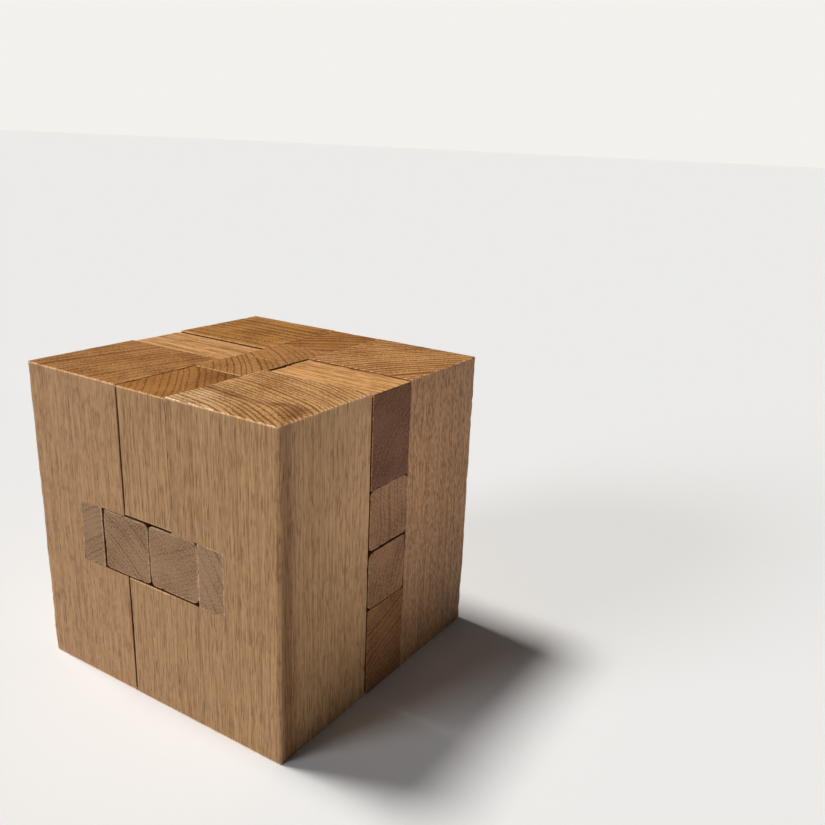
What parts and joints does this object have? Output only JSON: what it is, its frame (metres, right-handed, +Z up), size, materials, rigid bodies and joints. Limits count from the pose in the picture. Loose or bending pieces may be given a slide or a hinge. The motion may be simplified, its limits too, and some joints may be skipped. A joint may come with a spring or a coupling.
{
  "type": "wooden burr puzzle cube",
  "caption": "Solid beech cube that is an interlocking burr puzzle: crossed square sticks with corner blocks glued on, freed by sliding out a plain key stick.",
  "frame": {"origin": "middle of the cube's base, on the surface it stands on", "axes": "+Z up; the key stick runs along Y, and -Y is the face shown to the left of the nearest upright edge; +X is the face to the right of that edge"},
  "size_m": [0.075, 0.075, 0.075],
  "materials": {
    "beech_block": "sanded and lightly oiled beech",
    "beech_filler": "sanded and lightly oiled beech",
    "beech_stick": "sanded and lightly oiled beech, end grain showing"
  },
  "bodies": {
    "cube": {"locked_stick": "beech_stick", "upper_cross_stick": "beech_stick", "lower_cross_stick": "beech_stick", "front_upright_stick": "beech_stick", "back_upright_stick": "beech_stick", "front_left_block": "beech_block", "front_right_block": "beech_block", "back_left_block": "beech_block", "back_right_block": "beech_block", "front_left_inset": "beech_stick", "front_right_inset": "beech_stick", "back_left_inset": "beech_stick", "back_right_inset": "beech_stick", "front_top_filler": "beech_filler", "front_bottom_filler": "beech_filler", "back_top_filler": "beech_filler", "back_bottom_filler": "beech_filler", "left_top_filler": "beech_filler", "left_bottom_filler": "beech_filler", "right_top_filler": "beech_filler", "right_bottom_filler": "beech_filler"},
    "key": {"key_stick": "beech_stick"}
  },
  "joints": [
    {"name": "key_slide", "type": "slide", "parent": "cube", "child": "key", "axis": [0, -1, 0], "range_m": [-0.08, 0.08]}
  ]
}
